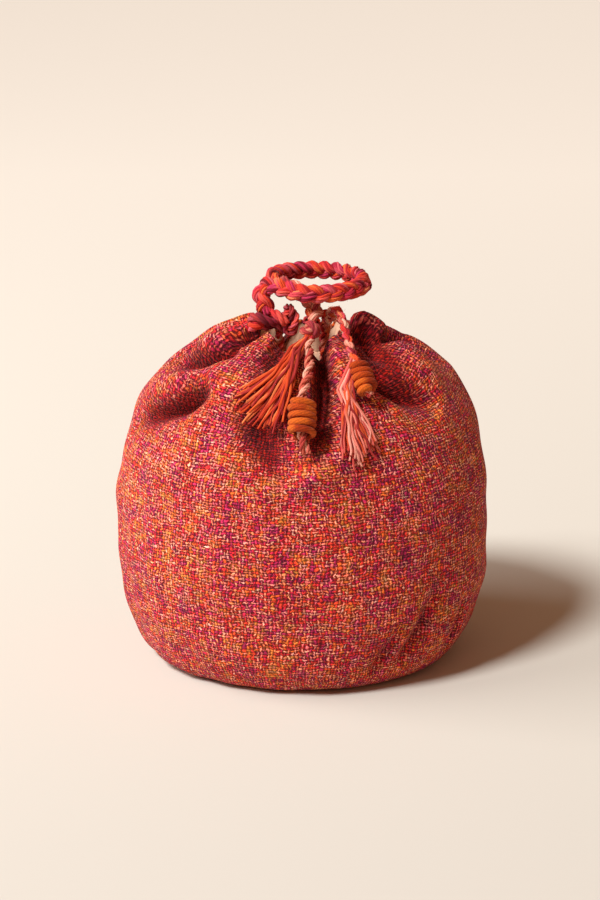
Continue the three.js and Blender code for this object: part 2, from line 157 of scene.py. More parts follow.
# Threads are counted from here on the side and on the base
SIDE_COUNT = 400
BASE_COUNT = 200
POUCH_COLUMNS = 480
POUCH_ROWS = 150
INNER_ROWS = 24
INNER_SLACK = 0.005
LINING_SLACK = 0.004
# How far the lining drops inside the mouth, as cloth does that nothing pulls outward, how far down this
# reaches and how soon it starts
LINING_HANG = 0.012
HANG_REACH = 0.03
HANG_EASE = 0.003
# Lengths from the mouth over which the slack grows and the rim's dip ends
SLACK_EASE = 0.02
RIM_EASE = 0.03
# Share of a plain oblong that is left of the flat cloth where it narrows to the base
BASE_ROWS = 6
BASE_HOLE = 0.0006
BASE_EDGE = 0.001

# Routes of the cords
LOOP_ROUTE = [
    (-0.0197, -0.0176, 0.199), (-0.0211, -0.0169, 0.202), (-0.0208, -0.0156, 0.2054),
    (-0.0166, -0.0172, 0.2082), (-0.0094, -0.022, 0.2076), (-0.0012, -0.026, 0.2065),
    (0.007, -0.0276, 0.2063), (0.0197, -0.0241, 0.2063), (0.029, -0.0148, 0.2063),
    (0.0325, -0.0021, 0.2063), (0.029, 0.0107, 0.2063), (0.0197, 0.0199, 0.2063),
    (0.007, 0.0234, 0.2063), (-0.0057, 0.0199, 0.2065), (-0.0142, 0.0114, 0.2067),
    (-0.0164, 0.0016, 0.2069), (-0.0126, -0.007, 0.2066), (-0.005, -0.0114, 0.205),
    (0.0014, -0.0126, 0.202), (0.0052, -0.0154, 0.1984), (0.0064, -0.0196, 0.1952),
    (0.0058, -0.023, 0.1928), (0.0051, -0.0257, 0.1911),
]
# The loop's strands start this far inside the left knot
LOOP_FOOT = (-0.0186, -0.0182, 0.1935)
LEFT_TAIL_ROUTE = [
    (0.0038, -0.0344, 0.1834), (0.0034, -0.0389, 0.1813), (0.0036, -0.0441, 0.1782),
    (0.0037, -0.0499, 0.1748), (0.0032, -0.0556, 0.1715), (0.0018, -0.0615, 0.1683),
    (0.0004, -0.0669, 0.1651), (0.0, -0.0703, 0.1613), (0.0, -0.0729, 0.1575),
    (0.0, -0.0754, 0.1537), (0.0, -0.0779, 0.1499), (0.0, -0.0805, 0.1462),
    (0.0008, -0.0819, 0.1418), (0.0022, -0.0826, 0.1374),
]
RIGHT_TAIL_ROUTE = [
    (0.0117, -0.0114, 0.1818), (0.0123, -0.0118, 0.186), (0.0139, -0.0137, 0.1906),
    (0.0166, -0.0174, 0.1941), (0.0194, -0.0223, 0.1948), (0.0214, -0.0271, 0.1915),
    (0.0228, -0.0323, 0.1869), (0.0242, -0.0379, 0.183), (0.0256, -0.0432, 0.1797),
    (0.027, -0.0481, 0.1775), (0.0286, -0.0513, 0.175), (0.0312, -0.0563, 0.1694),
    (0.0338, -0.0614, 0.1639), (0.0346, -0.063, 0.1622),
]
DRAWSTRING_START = [
    (-0.0122, -0.0157, 0.1835), (-0.0116, -0.0135, 0.1783), (-0.0112, -0.0129, 0.1713),
    (-0.0128, -0.0167, 0.1638),
]
DRAWSTRING_END = [
    (0.0136, -0.0171, 0.1618), (0.0116, -0.0131, 0.1679), (0.0112, -0.0116, 0.1749),
    (0.0116, -0.0114, 0.1812),
]
LOOP_DIAMETER = 0.0095
DRAWSTRING_DIAMETER = 0.0064
LEFT_TAIL_DIAMETER = 0.0056
CASING_RADIUS = 0.0048
CASING_DOWN = 0.008
CASING_START = -50
CASING_END = 46
CASING_STEP = 15
CASING_ROW = 0.001
CASING_COLUMNS = 40
CASING_THREADS = 20
PUCKER = 0.05
PUCKER_LENGTH = 0.0034
LAYER_GAP = 0.0005

# Knots, wraps and tassels
LOOP_KNOT_CENTRE = (-0.0145, -0.0181, 0.1905)
LOOP_KNOT_AXIS = (0.99, -0.139, 0.0)
# Places in the left knot are (along it, to its front, up)
KNOT_CORD = [
    (-0.0124, 0.0015, -0.0034), (-0.009, 0.0024, -0.0008), (-0.003, 0.0028, 0.0012),
    (0.0025, 0.0026, 0.001), (0.0065, 0.0018, 0.0004),
]
KNOT_UNDER = [(-0.008, -0.0018, -0.0036), (0.0, -0.0024, -0.003), (0.008, -0.0014, -0.0036)]
KNOT_EYE_CENTRE = (0.0084, 0.0012, 0.0)
KNOT_EYE_UP = (0.0, 0.0, 0.0062)
KNOT_EYE_ACROSS = (0.0026, 0.0016, 0.0)
WRAP_YARN = 0.0037
# How far the wrap's yarn moves along its tail in one turn
WRAP_RISE = 0.0036
# How uneven the winding is: along the tail, in its reach and in the yarn's thickness
WRAP_WOBBLE = 0.0005
WRAP_SLACK = 0.06
WRAP_SWELL = 0.07
# Each wrap: the point of its tail's route that it sits on, its reach and its turns
LEFT_WRAP = (9, 0.0056, 4.9)
RIGHT_WRAP = (11, 0.0041, 4.3)
# Each tassel: its root in a cord, its apex and its hem as (across, down) on the front, its yarns
ORANGE_FAN = (
    (0.0038, -0.0325, 0.1852), (-0.0016, 0.013),
    ((-0.0336, 0.048), (-0.0307, 0.0646), (-0.0095, 0.0667)), 74,
)
RIGHT_FRINGE = (
    (0.027, -0.0481, 0.1775), (0.0219, 0.0407),
    ((0.0196, 0.08), (0.0292, 0.0885), (0.0394, 0.078)), 72,
)
TASSEL_THICKNESS = 0.0065
TASSEL_CLEARANCE = 0.0003
TASSEL_FLARE = 1.5
# How far the tassels' yarns stray: in their root, at the apex, and in slow and quick waves
ROOT_SPREAD = 0.0007
APEX_SPREAD = 0.0018
SLOW_WANDER = 0.0011
QUICK_WANDER = 0.0004
# Steps of a yarn that its way from the root takes the place of
ROOT_SKIP = 4
YARN_RADIUS = 0.0008
YARN_SIDES = 7
YARN_STEP = 0.0008
# Yarns in each strand of the loop, and the length of its end that drops to the centre knot
STRAND_YARNS = 8
DROP_LENGTH = 0.036
STRAND_YARN_RADIUS = 0.00076
STRAND_SWELL = 0.14
# What a rope's three yarns in each ply have of its diameter and of its turn
PLY_REACH = 0.13
PLY_YARN_RADIUS = 0.14
PLY_TURN = 0.7
# Half width of the right tail's plait, how much it narrows in its wrap, where, and over what length
TAIL_WIDTH = 0.0017
TAIL_NARROWS = 0.0009
NARROWS_AT = 0.052
NARROWS_OVER = 0.008
# Steps of a twisted yarn that keep one colour, and the length of one turn in a plait's strands
TWIST_SPELL = 14
PLAIT_TURN = 0.012
FIBRE_LENGTH = 0.0016
FIBRE_RADIUS = 0.00005

# Photograph: size in pixels, the scale there, and where the middle of the base lies in it
PHOTO_WIDTH = 600
PHOTO_HEIGHT = 900
PHOTO_SCALE = 0.000538
BASE_PIXEL = (302, 648.6)
CAMERA_ELEVATION = 18
CAMERA_DISTANCE = 1.5

# Half width of the paper that the bag stands on
PAPER_REACH = 4.5


# Colours

def rgb(red, green, blue):
    """A colour of the screen, 0 to 255, as linear light."""
    share = np.array([red, green, blue]) / 255
    return np.where(share <= 0.04045, share / 12.92, ((share + 0.055) / 1.055) ** 2.4)


def shades(*colours):
    return np.array([rgb(*colour) for colour in colours])


BRAID_RED = shades((206, 46, 44), (176, 30, 36), (226, 84, 70), (128, 18, 30), (222, 62, 40), (212, 88, 96))
BRAID_ROSE = shades((204, 44, 66), (170, 30, 54), (220, 88, 98), (128, 18, 36), (214, 60, 58), (190, 46, 82))
BRAID_ORANGE = shades(
    (226, 76, 36), (236, 100, 50), (200, 46, 32), (236, 124, 84), (182, 38, 44), (214, 70, 80))
BURGUNDY = shades((132, 28, 44), (156, 40, 60), (104, 20, 32), (184, 76, 84), (168, 52, 52))
KNOT_PINK = shades((196, 84, 72), (212, 112, 90), (176, 58, 58), (220, 132, 108), (150, 46, 54))
PALE_PINK = shades((226, 132, 110), (234, 154, 130), (208, 98, 82), (216, 108, 84), (236, 172, 146))
FRINGE = shades((220, 96, 84), (232, 128, 110), (192, 60, 52), (214, 82, 42), (150, 36, 36), (240, 158, 138))
ORANGE = shades((198, 64, 24), (218, 88, 38), (118, 24, 10), (184, 52, 24), (160, 42, 38), (234, 124, 70))
TWIST = shades((204, 92, 72), (180, 62, 54), (218, 120, 94), (158, 48, 44))
MUSTARD = shades((192, 80, 16), (176, 62, 8), (206, 94, 22), (154, 48, 6))
PLAIT = (BRAID_RED, PALE_PINK, BRAID_ORANGE)


def dyed(steps, palette, spell):
    """Colours along a yarn: spells of one colour that run into the next."""
    count = int(steps / spell) + 3
    chosen = palette[RANDOM.integers(len(palette), size=count)]
    place = np.linspace(0, steps / spell, steps) + RANDOM.random()
    first = place.astype(int)
    share = np.clip((place - first) * 3 - 1, 0, 1)[:, None]
    return chosen[first] * (1 - share) + chosen[first + 1] * share


# Material graphs

class Graph:
    """Short ways to add linked nodes to a new material."""

    def __init__(self, name):
        self.material = bpy.data.materials.new(name)
        self.material.use_nodes = True
        self.tree = self.material.node_tree
        self.surface = self.tree.nodes["Principled BSDF"].inputs

    def set(self, socket, value):
        if isinstance(value, bpy.types.NodeSocket):
            self.tree.links.new(value, socket)
        else:
            socket.default_value = value

    def add(self, kind, inputs, **settings):
        node = self.tree.nodes.new("ShaderNode" + kind)
        for name, value in settings.items():
            setattr(node, name, value)
        for name, value in inputs.items():
            self.set(node.inputs[name], value)
        return node.outputs

    def math(self, operation, first, second=0.0):
        return self.add("Math", {0: first, 1: second}, operation=operation)[0]

    def plus(self, first, second):
        return self.math("ADD", first, second)

    def minus(self, first, second):
        return self.math("SUBTRACT", first, second)

    def times(self, first, second):
        return self.math("MULTIPLY", first, second)

    def vector(self, operation, first, second):
        return self.add("VectorMath", {0: first, 1: second}, operation=operation)[0]

    def scale(self, vector, factor):
        return self.add("VectorMath", {0: vector, "Scale": factor}, operation="SCALE")[0]

    def split(self, vector):
        return self.add("SeparateXYZ", {0: vector})

    def join(self, x, y, z):
        return self.add("CombineXYZ", {0: x, 1: y, 2: z})[0]

    def noise(self, place, scale, detail=2.0):
        return self.add("TexNoise", {"Vector": place, "Scale": scale, "Detail": detail})

    def chances(self, x, y, z):
        inputs = {"Vector": self.join(x, y, z)}
        return self.add("TexWhiteNoise", inputs, noise_dimensions="3D")["Color"]

    def spread(self, value, low, high, start, end):
        inputs = {0: value, 1: low, 2: high, 3: start, 4: end}
        return self.add("MapRange", inputs, clamp=True)[0]

    def ramp(self, value, stops):
        node = self.tree.nodes.new("ShaderNodeValToRGB")
        elements = node.color_ramp.elements
        while len(elements) < len(stops):
            elements.new(1.0)
        for element, (position, colour) in zip(elements, stops):
            element.position = position
            element.color = (*colour, 1.0)
        self.set(node.inputs[0], value)
        return node.outputs[0]

    def bump(self, height, strength, distance):
        inputs = {"Height": height, "Strength": strength, "Distance": distance}
        self.set(self.surface["Normal"], self.add("Bump", inputs)[0])

    def finish(self, colour, settings):
        self.set(self.surface["Base Color"], colour)
        for name, value in settings.items():
            self.surface[name].default_value = value
        return self.material


# The woven cloth's dyes, from one end of their range to the other, and the paler colours along the threads'
# backs: pale plies with painted highlights
WEAVE_DYES = [
    (0.00, rgb(168, 28, 74)),
    (0.18, rgb(208, 48, 98)),
    (0.36, rgb(214, 34, 52)),
    (0.52, rgb(232, 54, 46)),
    (0.68, rgb(244, 86, 40)),
    (0.84, rgb(248, 118, 46)),
    (1.00, rgb(246, 146, 66)),
]
PALE_PLY_HIGHLIGHTS = [
    (0.0, rgb(244, 108, 132)),
    (0.3, rgb(250, 134, 110)),
    (0.55, rgb(254, 178, 148)),
    (0.75, rgb(252, 134, 52)),
    (1.0, rgb(254, 200, 174)),
]
LINING_TONES = [(0.3, rgb(255, 204, 166)), (0.5, rgb(255, 212, 176)), (0.72, rgb(252, 192, 156))]
# Painted shade on the paper: darker towards the front and lighter towards the back
FLOOR_TONES = [(0.0, rgb(205, 200, 189)), (0.18, rgb(208, 203, 191)), (1.0, rgb(228, 222, 210))]
# Painted shade deep in the folds: what is left of the colour there, of the weave and of the lining
WEAVE_FOLD_SHADE = (0.37, 0.05, 0.06)
LINING_FOLD_SHADE = (0.42, 0.24, 0.2)
# Noises that move the threads off an even grid: scale, reach in threads
THREAD_WANDER = [(0.14, 2.4), (0.7, 1.6), (1.9, 0.6)]
WARP_SEED = 8.1
WEFT_SEED = 3.7
SOFT_FINISH = {"Roughness": 0.9, "Specular IOR Level": 0.2, "Sheen Weight": 0.05, "Sheen Roughness": 0.5}
PAPER_FINISH = {"Roughness": 0.95, "Specular IOR Level": 0.1}


def weave_material():
    """Plain weave of space-dyed threads, with painted shade in the folds and between the threads. The UV map
    counts threads across and along the cloth.
    """
    graph = Graph("woven_cloth")
    place = graph.add("UVMap", {}, uv_map="threads")[0]
    u, v, _ = graph.split(wandered(graph, place))
    height, ridge, over = weave_heights(graph, u, v)
    run, dye, fleck, bare = weave_dyes(graph, u, v, over)
    # Painted shade: the colour darkens towards the bottoms of the folds
    colour = with_fold_shade(graph, weave_colour(graph, run, dye, bare, ridge), WEAVE_FOLD_SHADE)
    graph.bump(height, strength=0.9, distance=0.0008)
    # Painted shade between the threads and painted light on their backs, with random light and dark of the
    # floats and fibres
    return graph.finish(graph.scale(colour, thread_shade(graph, place, fleck, height)), SOFT_FINISH)


def wandered(graph, place):
    """Places in threads, moved as hand-spun threads wander off an even grid."""
    moved = place
    for scale, reach in THREAD_WANDER:
        noise = graph.vector("SUBTRACT", graph.noise(place, scale)["Color"], (0.5, 0.5, 0.5))
        moved = graph.vector("ADD", moved, graph.scale(noise, reach))
    return moved


def weave_heights(graph, u, v):
    """Height of the thread that lies on top, how near the middle of its back, and 1 where it is the warp."""
    warp_round = thread_round(graph, u)
    weft_round = thread_round(graph, v)
    threads = graph.plus(graph.math("FLOOR", u), graph.math("FLOOR", v))
    parity = graph.math("FLOORED_MODULO", threads, 2.0)
    side = graph.minus(graph.times(parity, 2.0), 1.0)
    warp_height = thread_height(graph, warp_round, weft_round, side)
    weft_height = thread_height(graph, weft_round, warp_round, graph.times(side, -1.0))
    height = graph.math("MAXIMUM", warp_height, weft_height)
    over = graph.math("GREATER_THAN", warp_height, weft_height)
    return height, either(graph, weft_round, warp_round, over), over


def weave_dyes(graph, u, v, over):
    """The dye that runs along the thread on top, and three chances for each of its floats."""
    warp = graph.math("FLOOR", u)
    weft = graph.math("FLOOR", v)
    warp_floats = float_chances(graph, warp, v, graph.plus(warp, 1.0), WARP_SEED)
    weft_floats = float_chances(graph, weft, u, weft, WEFT_SEED)
    run = either(graph, dye_run(graph, u, weft, WEFT_SEED), dye_run(graph, v, warp, WARP_SEED), over)
    return run, *graph.split(blend(graph, weft_floats, warp_floats, over))


def either(graph, weft, warp, over):
    """The warp's number where it lies over the weft, and else the weft's."""
    return graph.add("Mix", {0: over, 2: weft, 3: warp}, data_type="FLOAT")[0]


def with_fold_shade(graph, colour, tint):
    """A colour darkened by painted shade, towards its tint at the bottoms of the folds."""
    hollow = graph.add("Attribute", {}, attribute_name="hollow")["Fac"]
    return blend(graph, colour, graph.vector("MULTIPLY", colour, tint), hollow)


def blend(graph, first, second, share):
    return graph.vector("ADD", first, graph.scale(graph.vector("SUBTRACT", second, first), share))


def float_chances(graph, thread, crossing, parity, seed):
    """Three chances for each float, which is the length of thread that shows between two dives."""
    odd = graph.math("FLOORED_MODULO", parity, 2.0)
    halves = graph.times(graph.minus(crossing, odd), 0.5)
    index = graph.math("FLOOR", graph.plus(halves, 0.25))
    return graph.chances(thread, index, seed)


def dye_run(graph, along, thread, seed):
    """A dye that changes slowly along each thread."""
    place = graph.join(graph.times(along, 0.11), graph.times(thread, 3.7), seed)
    return graph.spread(graph.noise(place, 1.0)[0], 0.3, 0.7, 0.04, 0.9)


def weave_colour(graph, run, dye, bare, ridge):
    """Dyes that run along the threads, with a paler colour along the ridges of most floats' backs: a pale
    ply with a painted highlight.
    """
    body = graph.add("TexCoord", {})["Object"]
    cluster = graph.spread(graph.noise(body, 105.0, 2.0)[0], 0.3, 0.7, -0.32, 0.32)
    speckle = graph.spread(dye, 0.0, 1.0, -0.13, 0.13)
    colour = graph.ramp(graph.plus(run, graph.plus(cluster, speckle)), WEAVE_DYES)
    pale = graph.ramp(graph.math("FRACT", graph.times(bare, 7.0)), PALE_PLY_HIGHLIGHTS)
    # Painted highlight with pale ply: the paler colour lies along the ridge of each chosen float's back
    back = graph.spread(ridge, 0.8, 0.95, 0.0, 1.0)
    return blend(graph, colour, pale, graph.times(graph.spread(bare, 0.42, 0.48, 0.0, 0.82), back))


def thread_shade(graph, place, fleck, height):
    """Random light and dark of single floats and of the fibres, with painted shade in the hollows between
    threads and painted light on their backs.
    """
    single = graph.spread(fleck, 0.0, 1.0, 0.66, 1.36)
    # Painted shade in the hollows between threads, and painted light on their backs
    hollow = graph.spread(height, 0.44, 0.84, 0.24, 1.14)
    fibres = graph.vector("MULTIPLY", place, (4.5, 1.8, 1.0))
    fibre = graph.spread(graph.noise(fibres, 1.0, 2.0)[0], 0.3, 0.7, 0.7, 1.28)
    return graph.times(graph.times(single, hollow), fibre)


def thread_round(graph, place):
    """A thread's round back, 1 along its middle and 0 at its edges."""
    across = graph.minus(graph.math("FRACT", place), 0.5)
    return graph.math("COSINE", graph.times(across, math.pi))


def thread_height(graph, own_round, other_round, side):
    """Height of a thread that goes over its neighbours where the side is 1 and under them where it is -1."""
    swing = graph.times(graph.times(other_round, side), 0.38)
    return graph.times(own_round, graph.plus(swing, 0.62))


def cotton_material():
    """Fine pale plain weave, with painted shade in its folds and between its threads."""
    graph = Graph("lining_cotton")
    place = graph.add("UVMap", {}, uv_map="threads")[0]
    u, v, _ = graph.split(graph.scale(place, 3.2))
    height = graph.times(thread_round(graph, u), thread_round(graph, v))
    tone = graph.ramp(graph.noise(place, 0.08, 4.0)[0], LINING_TONES)
    # Painted shade: darker in the folds and in the hollows between the threads
    colour = graph.scale(with_fold_shade(graph, tone, LINING_FOLD_SHADE), graph.spread(height, 0.0, 1.0, 0.85, 1.05))
    graph.bump(height, strength=0.5, distance=0.0003)
    return graph.finish(colour, SOFT_FINISH)


def yarn_material(name, fibres, lean, ragged, contrast=1.0):
    """Twisted yarn. The UV map holds the turn round the yarn and the length along it in millimetres."""
    graph = Graph(name)
    tint = graph.add("Attribute", {}, attribute_name="tint")["Color"]
    u, v, _ = graph.split(graph.add("UVMap", {}, uv_map="yarn")[0])
    body = graph.add("TexCoord", {})["Object"]
    speck = graph.noise(body, 1400.0, 3.0)[0]
    slant = graph.plus(graph.times(u, fibres), graph.times(v, lean))
    slant = graph.plus(slant, graph.times(speck, ragged))
    stripe = graph.math("SINE", graph.times(slant, FULL_TURN))
    height = graph.plus(graph.spread(stripe, -1.0, 1.0, 0.0, 0.6), graph.times(speck, 0.8))
    # Painted shade in the grooves of the twist: the yarn is darker where its surface lies low and lighter
    # where it lies high, with random specks
    light = graph.spread(height, 0.2, 1.2, 1 - 0.38 * contrast, 1 + 0.2 * contrast)
    graph.bump(height, strength=0.6, distance=0.0003)
    return graph.finish(graph.scale(tint, light), SOFT_FINISH)


# Shape of the pouch

def profile_table():
    """Length up the side from the middle of the base, radius and height, from the base to the mouth."""
    low_power = 2 / BASE_FULLNESS
    power = 2 / DOME_FULLNESS
    turn = np.linspace(0, math.pi / 2, 600)
    low_radius = BASE_WIDTH / 2 + (BELLY_WIDTH - BASE_WIDTH) / 2 * np.sin(turn) ** low_power
    low_height = BELLY_HEIGHT * (1 - np.cos(turn) ** low_power)
    mouth = math.acos((MOUTH_WIDTH / BELLY_WIDTH) ** (1 / power))
    turn = np.linspace(0, mouth, 1200)[1:]
    radius = np.concatenate([[0.0], low_radius, BELLY_WIDTH / 2 * np.cos(turn) ** power])
    height = np.concatenate([[0.0], low_height, BELLY_HEIGHT + DOME_RISE * np.sin(turn) ** power])
    length = np.concatenate([[0.0], np.cumsum(np.hypot(np.diff(radius), np.diff(height)))])
    return length, radius, height


PROFILE_LENGTH, PROFILE_RADIUS, PROFILE_HEIGHT = profile_table()
CLOTH_LENGTH = PROFILE_LENGTH[-1]
SIDE_LENGTH = CLOTH_LENGTH - BASE_WIDTH / 2
MOUTH_HEIGHT = PROFILE_HEIGHT[-1]


def profile_at(down):
    along = CLOTH_LENGTH - down
    radius = np.interp(along, PROFILE_LENGTH, PROFILE_RADIUS)
    return radius, np.interp(along, PROFILE_LENGTH, PROFILE_HEIGHT)


def mouth_rise(angle):
    """The mouth dips at the front and the back, and rises at the sides."""
    dips = -(FRONT_DIP + BACK_DIP) / 2
    tilt = (BACK_DIP - FRONT_DIP) / 2
    return (dips + SIDE_RISE) / 2 + (dips - SIDE_RISE) / 2 * np.cos(2 * angle) + tilt * np.cos(angle)


def envelope(angle, down):
    """A point of the pouch as it would be without folds."""
    radius, height = profile_at(down)
    share = np.clip((height - BELLY_HEIGHT) / (MOUTH_HEIGHT - BELLY_HEIGHT), 0, 1)
    rise = mouth_rise(angle) * share ** 2 * (3 - 2 * share)
    depth = BELLY_DEPTH / BELLY_WIDTH
    return np.stack([radius * np.sin(angle), -radius * np.cos(angle) * depth, height + rise], -1)


def unit(vectors):
    return vectors / np.linalg.norm(vectors, axis=-1, keepdims=True)


def envelope_normal(angle, down):
    turn = 0.004
    step = 0.0002
    around = envelope(angle + turn, down) - envelope(angle - turn, down)
    above = envelope(angle, np.maximum(down - step, 0))
    below = envelope(angle, np.minimum(down + step, CLOTH_LENGTH - step))
    return unit(np.cross(around, above - below))


def crease_place(angle, down, start, end):
    """Share along a crease between two (angle, down) places, and the offset from it across and down."""
    radius, _ = profile_at(down)
    turned = angle - math.radians(start[0])
    across = (turned - FULL_TURN * np.round(turned / FULL_TURN)) * radius
    along = down - start[1]
    run_across = math.radians(end[0] - start[0]) * radius
    run_along = end[1] - start[1]
    share = (across * run_across + along * run_along) / (run_across ** 2 + run_along ** 2)
    share = np.clip(share, 0, 1)
    return share, across - share * run_across, along - share * run_along


def crease(angle, down, start, end, widths, fade):
    """Depth share of one crease."""
    share, across, along = crease_place(angle, down, start, end)
    width = widths[0] + (widths[1] - widths[0]) * share
    return fade(share) * np.exp(-((np.hypot(across, along) / width) ** FOLD_POWER))


def lip(angle, down, start, end, width):
    """Share of a lip's puff and slide: most at a width above the crease, on the side of the mouth."""
    share, across, along = crease_place(angle, down, start, end)
    above = np.hypot(across, along) * -np.sign(along)
    return buckle_fade(share) * np.exp(-(((above - width) / width) ** 2))


def gather_fade(share):
    return (1 + GATHER_SWELL * share) * (1 - share ** 3) ** 1.5


def gather_shade(share):
    return 1 - share ** 4


def buckle_fade(share):
    return np.sin(share ** BUCKLE_LEAN * math.pi)


def fold_depth(angle, down):
    """How far the cloth lies inside the envelope."""
    valleys = 0.0
    puffs = 0.0
    for mouth, foot, reach, share, spread in GATHERS:
        own = crease(angle, down, (mouth, 0), (foot, reach), (GATHER_WIDTH, spread), gather_fade)
        valleys = valleys + (GATHER_DEPTH * share * own) ** 3
    for start, end, most, width in BUCKLES:
        depth = most * crease(angle, down, start, end, (width, width), buckle_fade)
        valleys = valleys + np.maximum(depth, 0) ** 3
        puffs = puffs + np.minimum(depth, 0)
    for start, end, most, width, _ in LIPS:
        valleys = valleys + (most * crease(angle, down, start, end, (width, width), buckle_fade)) ** 3
        puffs = puffs - LIP_PUFF * most * lip(angle, down, start, end, width * PUFF_WIDTH)
    return np.cbrt(valleys) + puffs


def fold_shade_share(angle, down):
    """How deep in a fold a place lies, as its share of painted shade, from 0 on the open cloth to 1."""
    found = np.zeros_like(angle)
    for mouth, foot, reach, _, spread in GATHERS:
        own = crease(angle, down, (mouth, 0), (foot, reach), (GATHER_WIDTH, spread), gather_shade)
        found = np.maximum(found, GATHER_SHADE * own)
    for start, end, most, width in BUCKLES:
        shade = BUCKLE_SHADE * min(max(most, 0) / SHADE_DEPTH, 1)
        found = np.maximum(found, shade * crease(angle, down, start, end, (width, width), buckle_fade))
    for start, end, _, width, _ in LIPS:
        found = np.maximum(found, crease(angle, down, start, end, (width, width), buckle_fade))
    return np.minimum(found * SHADE_GAIN, 1)


def slide_lips(angle, down):
    """Where places move to as the lips slide down over their creases."""
    slide = 0.0
    for start, end, _, width, reach in LIPS:
        slide = slide + reach * lip(angle, down, start, end, width)
    return down + slide


def small_wrinkles(angle, down, places):
    """Soft lumps all over and fine pleats near the mouth, but none at the base."""
    lumps = 0.0
    generator = np.random.default_rng(3)
    for wave in LUMP_WAVES:
        direction = unit(generator.normal(size=3))
        lumps = lumps + np.sin(places @ direction * FULL_TURN / wave + generator.random() * FULL_TURN)
    swing = angle * PLEAT_COUNT + 2.2 * np.sin(3 * angle) + down / PLEAT_SLANT
    pleats = np.sin(swing) * np.exp(-((down / PLEAT_REACH) ** 2))
    calm = np.clip((SIDE_LENGTH - down) / BASE_CALM, 0, 1)
    return (lumps * LUMP_HEIGHT + pleats * PLEAT_DEPTH) * calm


def deepest_fold(angle, down, slack):
    """The deepest fold within a small distance of each place."""
    radius, _ = profile_at(down)
    turn = slack / np.maximum(radius, 0.01)
    found = fold_depth(angle, down)
    for heading in np.arange(8) / 8 * FULL_TURN:
        beside = angle + math.cos(heading) * turn
        found = np.maximum(found, fold_depth(beside, np.maximum(down + math.sin(heading) * slack, 0)))
    return found


def cloth(angle, down, inset, slack):
    """A point of the folded cloth, or of a layer inside it that the slack keeps clear of the folds."""
    folds = fold_depth(angle, down) if slack is None else deepest_fold(angle, down, slack)
    if slack is None:
        down = slide_lips(angle, down)
    places = envelope(angle, down)
    depth = folds + small_wrinkles(angle, down, places) + inset
    base = np.clip((SIDE_LENGTH - down) / BASE_EASE, 0, 1)
    inward = envelope_normal(angle, down) * (depth * base)[..., None]
    lift = np.zeros_like(places)
    lift[..., 2] = inset * (1 - base)
    return places - inward + lift


def rim_dip(angle):
    """How much lower the woven rim lies at the front."""
    degrees, dips = zip(*RIM_DIPS)
    return np.interp(np.degrees(angle), degrees, dips)


# Meshes

def add_piece(name, points, faces, material, slot, replaced):
    """A smooth mesh piece that rides on the bag's one body and stands for a CAD node."""
    mesh = bpy.data.meshes.new(name)
    mesh.from_pydata(points.tolist(), [], faces)
    mesh.polygons.foreach_set("use_smooth", [True] * len(mesh.polygons))
    mesh.materials.append(material)
    piece = bpy.data.objects.new(name, mesh)
    bpy.context.collection.objects.link(piece)
    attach(piece, "root")
    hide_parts(replaced)
    return piece


def set_uv(piece, name, corners):
    layer = piece.data.uv_layers.new(name=name)
    layer.data.foreach_set("uv", np.asarray(corners, np.float32).ravel())


def ring_corners(rows, columns):
    """Row and column of each corner of the squares of a closed band."""
    row, column = np.mgrid[0:rows - 1, 0:columns]
    return np.stack([row, row, row + 1, row + 1], -1), np.stack([column, column + 1, column + 1, column], -1)


def tube_faces(rows, columns, start=0):
    """Squares of a tube, and a face that closes it at each end."""
    row, column = ring_corners(rows, columns)
    squares = (row * columns + column % columns).reshape(-1, 4) + start
    first = np.arange(columns) + start
    last = first + (rows - 1) * columns
    return [*squares.tolist(), first[::-1].tolist(), last.tolist()]


def cloth_layer(rows, angle, dip):
    """Points of a layer, and how far down they lie. Each row is (down, inset, slack)."""
    shape = (len(rows), len(angle))
    down, inset, slack = (np.broadcast_to(part[:, None], shape) for part in np.array(rows).T)
    down = down + dip * np.clip(1 - down / RIM_EASE, 0, 1)
    return cloth(np.broadcast_to(angle, shape), down, inset, slack if slack.any() else None), down


def cloth_piece(name, outer, inner, columns, peep, material, slot, replaced):
    """A closed shell of cloth, with its threads counted in a UV map and the painted shade of its folds
    stored at its points.

    The outer rows run up to the rim and the inner ones down from it. The peep is how much less the rim
    dips than the pouch's own.
    """
    angle = (np.arange(columns) / columns - 0.5) * FULL_TURN
    dip = np.maximum(rim_dip(angle) - peep, 0)
    layers = [cloth_layer(rows, angle, dip) for rows in (outer, inner)]
    points, downs = (np.concatenate(parts) for parts in zip(*layers))
    faces = tube_faces(len(points), columns)
    piece = add_piece(name, points.reshape(-1, 3), faces, material, slot, replaced)
    threads = thread_corners(points, downs, *ring_corners(len(points), columns)).reshape(-1, 2)
    set_uv(piece, "threads", np.vstack([threads, np.full((2 * columns, 2), BASE_COUNT)]))
    # Painted shade of the folds, kept for the materials to darken the colour
    hollow = fold_shade_share(np.broadcast_to(angle, downs.shape), downs)
    layer = piece.data.attributes.new("hollow", "FLOAT", "POINT")
    layer.data.foreach_set("value", hollow.astype(np.float32).ravel())
    return piece


def sector_middle(angle, down):
    """Middle angle of the cloth between two gathers, for each face. The extra cloth hides in the gathers."""
    mouths = np.sort([gather[0] for gather in GATHERS])
    edges = np.concatenate([[-180], mouths, [180]])
    middles = np.radians((edges[1:] + edges[:-1]) / 2)
    index = np.zeros(angle.shape, int)
    for mouth, foot, reach, _, _ in GATHERS:
        edge = mouth + (foot - mouth) * np.clip(down / reach, 0, 1)
        index = index + (np.degrees(angle) > edge)
    return middles[index]


def thread_excess(points, downs):
    """How much more cloth the folds take up below each point, eased from column to column."""
    length = np.linalg.norm(np.diff(points, axis=0), axis=-1)
    extra = np.maximum(length - np.abs(np.diff(downs, axis=0)), 0)
    excess = np.vstack([np.zeros_like(extra[:1]), np.cumsum(extra, axis=0)])
    shifts = range(-EXCESS_BLUR, EXCESS_BLUR + 1)
    return THREAD_EXCESS * np.mean([np.roll(excess, shift, axis=1) for shift in shifts], axis=0)


